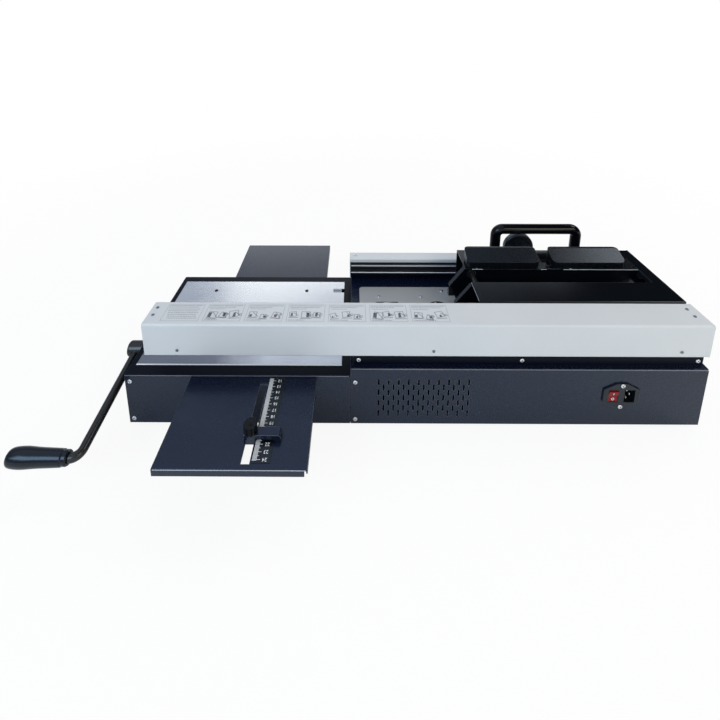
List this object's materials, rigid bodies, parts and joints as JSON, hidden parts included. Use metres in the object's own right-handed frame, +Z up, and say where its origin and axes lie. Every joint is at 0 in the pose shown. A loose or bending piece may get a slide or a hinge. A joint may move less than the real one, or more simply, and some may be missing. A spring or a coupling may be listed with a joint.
{
  "type": "hot melt binding machine",
  "caption": "Desktop hot melt book binder: clamp carriage over a milling and gluing station, lever-worked nipping station with folded side plates.",
  "frame": {"origin": "middle of the footprint at floor level, under the rubber feet", "axes": "+X along the machine towards the parked carriage, +Y from the service side to the operator's side, +Z up"},
  "size_m": [1.053, 0.53, 0.2365],
  "materials": {
    "black_paint": "semi-gloss black powder coat",
    "white_paint": "satin light grey-white paint",
    "bright_steel": "brushed stainless steel",
    "plain_steel": "zinc plated steel",
    "chrome_trim": "polished chrome",
    "rail_aluminium": "anodised aluminium",
    "bronze": "plain bronze bush",
    "rubber_black": "black rubber",
    "black_plastic": "matte black moulding",
    "gloss_black": "glossy black moulding",
    "red_plastic": "glossy red moulding",
    "grey_plastic": "grey moulding"
  },
  "bodies": {
    "table": {"lift_table": "plain_steel", "guide_posts": "chrome_trim"},
    "near_nip": {"near_nip_plate": "bright_steel"},
    "far_nip": {"far_nip_plate": "bright_steel"},
    "lever": {"lever_shaft": "chrome_trim", "lift_cams": "plain_steel", "lever_arm": "black_paint"},
    "grip": {"lever_grip": "rubber_black"},
    "slider": {"stop_slider": "black_paint"},
    "slider_knob": {"stop_knob": "black_plastic"},
    "carriage": {"carriage_deck": "black_paint", "fixed_jaw": "black_paint", "jaw_guide_rods": "chrome_trim", "slide_shoes": "black_plastic", "nut_housing": "plain_steel", "push_handle": "black_paint", "handle_brackets": "black_paint"},
    "clamp": {"moving_jaw": "black_paint", "jaw_bushes": "bronze", "jaw_covers": "gloss_black", "clamp_screw": "plain_steel"},
    "wheel": {"handwheel": "black_plastic"},
    "roller": {"glue_roller": "rail_aluminium"},
    "cutter": {"milling_cutter": "plain_steel"},
    "power_key": {"power_rocker": "red_plastic"},
    "motor_key": {"motor_rocker": "gloss_black"},
    "key_1": {"control_key_1": "grey_plastic"},
    "key_2": {"control_key_2": "grey_plastic"},
    "key_3": {"control_key_3": "grey_plastic"},
    "machine": {"base_tray": "black_paint", "rubber_feet": "rubber_black", "rear_panels": "black_paint", "front_panel": "black_paint", "end_panels": "black_paint", "table_rim": "black_paint", "right_top_cover": "black_paint", "pot_cover_plate": "bright_steel", "near_extension_plate": "black_paint", "far_extension_plate": "black_paint", "scale_strip": "gloss_black", "table_bed": "plain_steel", "post_bushes": "bronze", "nip_cam_plates": "plain_steel", "shaft_bearings": "black_paint", "slide_rails": "rail_aluminium", "rear_beam_cover": "white_paint", "beam_core": "black_paint", "beam_pedestal": "black_paint", "front_beam_cover": "white_paint", "front_beam_bracket": "black_paint", "glue_pot": "rail_aluminium", "inner_frame": "plain_steel", "glue_scraper": "bright_steel", "gearmotor": "plain_steel", "cutter_motor": "black_paint", "inlet_module": "black_plastic", "control_panel": "grey_plastic", "temperature_module": "black_plastic", "motor_switch_body": "black_plastic", "case_screws": "plain_steel"}
  },
  "joints": [
    {"name": "lever_swing", "type": "hinge", "parent": "machine", "child": "lever", "pos_m": [-0.43245, -0.052, 0.086], "axis": [-1, 0, 0], "range_deg": [0, 150]},
    {"name": "grip_spin", "type": "hinge", "parent": "lever", "child": "grip", "pos_m": [-0.48245, -0.222, 0.062], "axis": [-1, 0, 0], "continuous": true},
    {"name": "table_lift", "type": "slide", "parent": "machine", "child": "table", "axis": [0, 0, 1], "range_m": [0, 0.0201]},
    {"name": "near_nip_slide", "type": "slide", "parent": "table", "child": "near_nip", "axis": [0, 1, 0], "range_m": [0, 0.0241]},
    {"name": "far_nip_slide", "type": "slide", "parent": "table", "child": "far_nip", "axis": [0, -1, 0], "range_m": [0, 0.0241]},
    {"name": "carriage_slide", "type": "slide", "parent": "machine", "child": "carriage", "axis": [-1, 0, 0], "range_m": [0, 0.546]},
    {"name": "jaw_slide", "type": "slide", "parent": "carriage", "child": "clamp", "axis": [0, -1, 0], "range_m": [0, 0.04]},
    {"name": "handwheel_turn", "type": "hinge", "parent": "carriage", "child": "wheel", "pos_m": [0.31755, 0.142, 0.173], "axis": [0, 1, 0], "range_deg": [0, 1441]},
    {"name": "roller_spin", "type": "hinge", "parent": "machine", "child": "roller", "pos_m": [0.02455, 0.008, 0.096], "axis": [0, 1, 0], "continuous": true},
    {"name": "cutter_spin", "type": "hinge", "parent": "machine", "child": "cutter", "pos_m": [0.12355, 0.009, 0.118], "axis": [0, 0, 1], "continuous": true},
    {"name": "power_switch", "type": "hinge", "parent": "machine", "child": "power_key", "pos_m": [0.37855, -0.121, 0.0675], "axis": [-1, 0, 0], "range_deg": [0, 12]},
    {"name": "motor_switch", "type": "hinge", "parent": "machine", "child": "motor_key", "pos_m": [0.38355, 0.131, 0.064], "axis": [1, 0, 0], "range_deg": [0, 12]},
    {"name": "stop_slide", "type": "slide", "parent": "machine", "child": "slider", "axis": [0, 1, 0], "range_m": [-0.024, 0.07]},
    {"name": "stop_knob_turn", "type": "hinge", "parent": "slider", "child": "slider_knob", "pos_m": [-0.1827, -0.222, 0.117], "axis": [0, 0, 1], "range_deg": [0, 90]},
    {"name": "key_1_press", "type": "slide", "parent": "machine", "child": "key_1", "axis": [0, -1, 0], "range_m": [0, 0.0015], "stiffness_N_per_m": 300},
    {"name": "key_2_press", "type": "slide", "parent": "machine", "child": "key_2", "axis": [0, -1, 0], "range_m": [0, 0.0015], "stiffness_N_per_m": 300},
    {"name": "key_3_press", "type": "slide", "parent": "machine", "child": "key_3", "axis": [0, -1, 0], "range_m": [0, 0.0015], "stiffness_N_per_m": 300}
  ],
  "couplings": [
    {"joint": "table_lift", "follows": "lever_swing", "m_per_rad": 0.0076394},
    {"joint": "near_nip_slide", "follows": "lever_swing", "m_per_rad": 0.0091673},
    {"joint": "far_nip_slide", "follows": "lever_swing", "m_per_rad": 0.0091673},
    {"joint": "handwheel_turn", "follows": "jaw_slide", "rad_per_m": 628.32}
  ]
}
